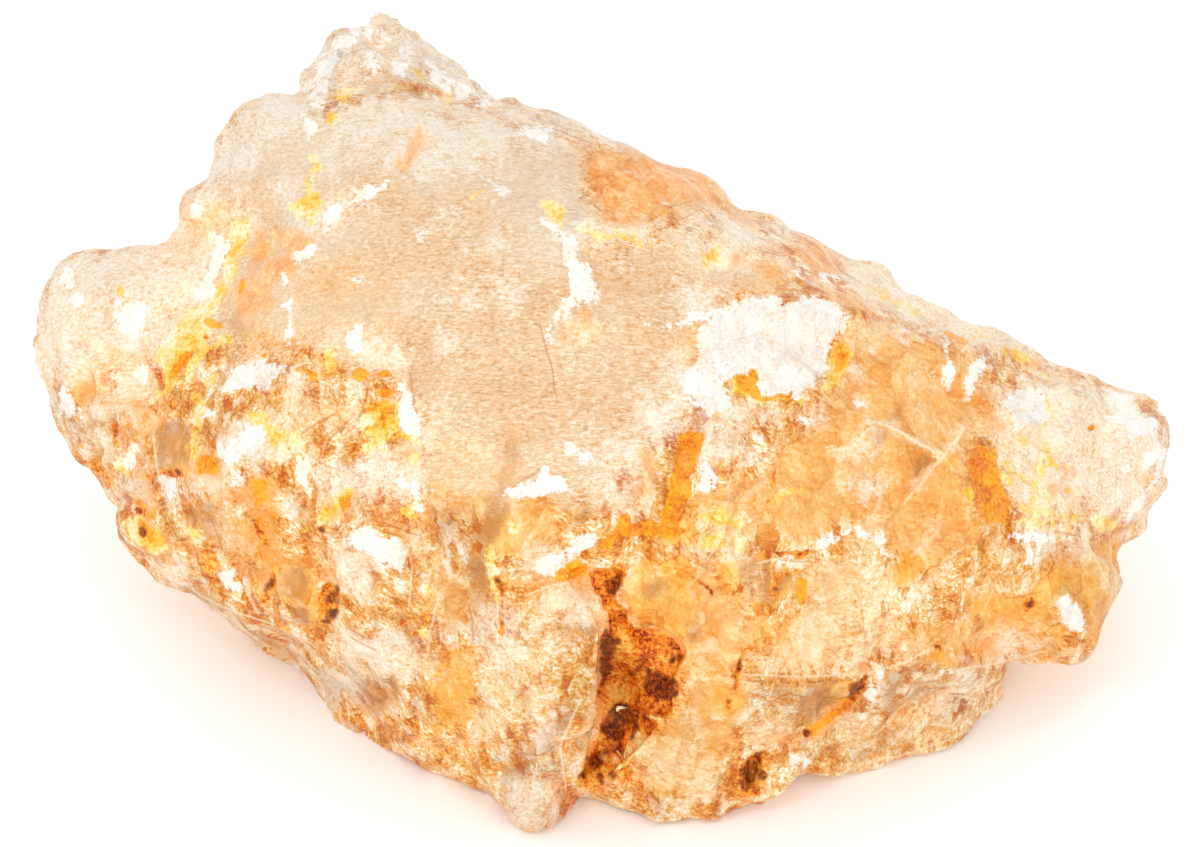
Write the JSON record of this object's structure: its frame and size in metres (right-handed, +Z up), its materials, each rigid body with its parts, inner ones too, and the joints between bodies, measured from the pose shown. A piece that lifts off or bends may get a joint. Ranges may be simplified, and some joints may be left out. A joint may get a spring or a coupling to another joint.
{
  "type": "petalite crystal",
  "caption": "Rough hand specimen of petalite: a wedge of pale peach cleavable crystal with a satin cleavage face, yellow and orange staining, and an iron-stained pocket.",
  "frame": {"origin": "under the middle of the stone's bounding box, on the surface it lies on", "axes": "+X along the stone's length, towards its pale right end; +Y away from the broad cleaved side; +Z up"},
  "size_m": [0.06, 0.0384, 0.026],
  "materials": {
    "petalite": "satin on the cleavage face, glassy on fresh breaks, matte where stained"
  },
  "bodies": {
    "root": {"petalite": "petalite"}
  },
  "joints": []
}
